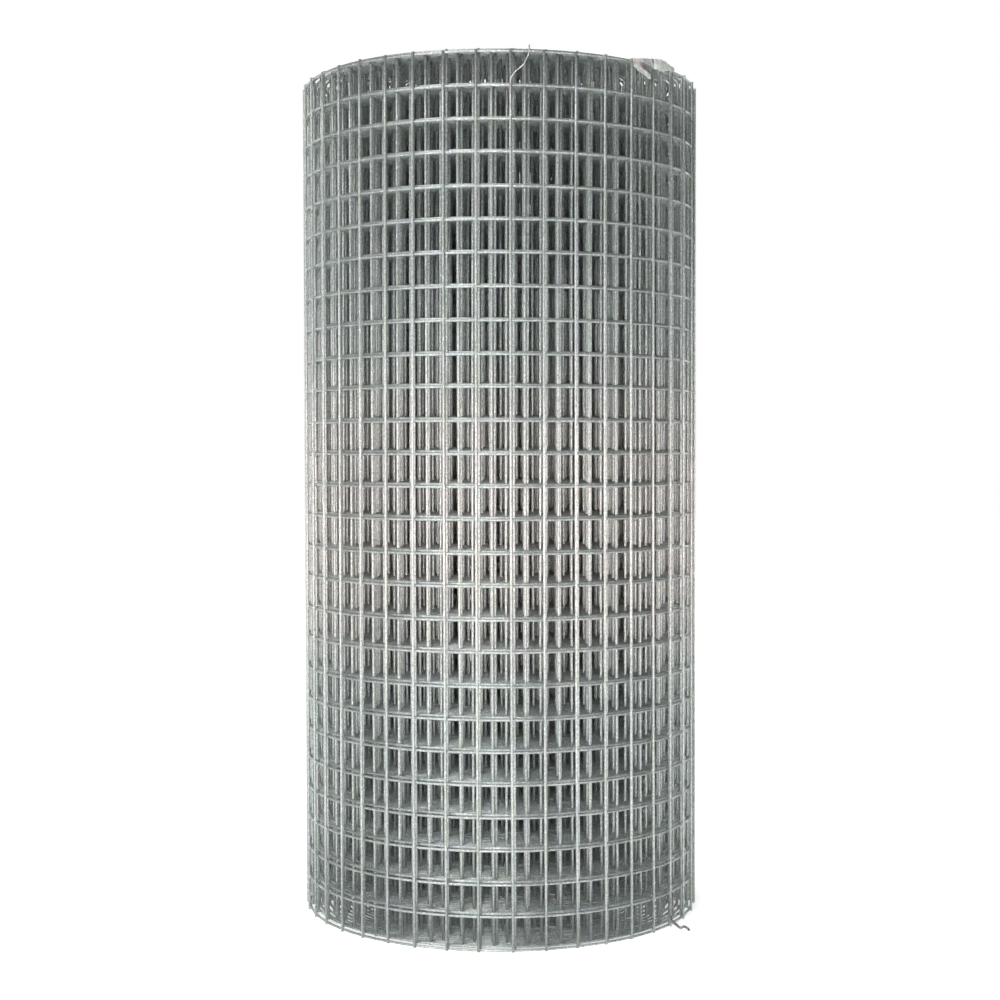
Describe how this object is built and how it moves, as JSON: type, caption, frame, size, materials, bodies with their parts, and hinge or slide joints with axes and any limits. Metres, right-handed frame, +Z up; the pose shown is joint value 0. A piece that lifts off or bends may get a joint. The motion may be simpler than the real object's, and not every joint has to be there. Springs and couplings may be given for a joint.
{
  "type": "roll of welded wire mesh",
  "caption": "Standing roll of fine galvanised welded wire mesh with an open bore, a tie wire at each end and a small bare paper label.",
  "frame": {"origin": "centre of the lower end of the roll, on the axis of the bore, where the roll stands on the ground", "axes": "+Z up along the axis of the roll, -Y towards the front, with the label on the +X side of the front"},
  "size_m": [0.2498, 0.2506, 0.5166],
  "materials": {
    "mesh_wire": "dull galvanised zinc with a fine uneven spangle",
    "tie_wire": "dull annealed soft wire",
    "label": "crumpled, slightly dirty off-white paper, with nothing printed on it"
  },
  "bodies": {
    "root": {"mesh_roll": "mesh_wire", "tie_wire_top": "tie_wire", "tie_wire_bottom": "tie_wire", "label": "label"}
  },
  "joints": []
}
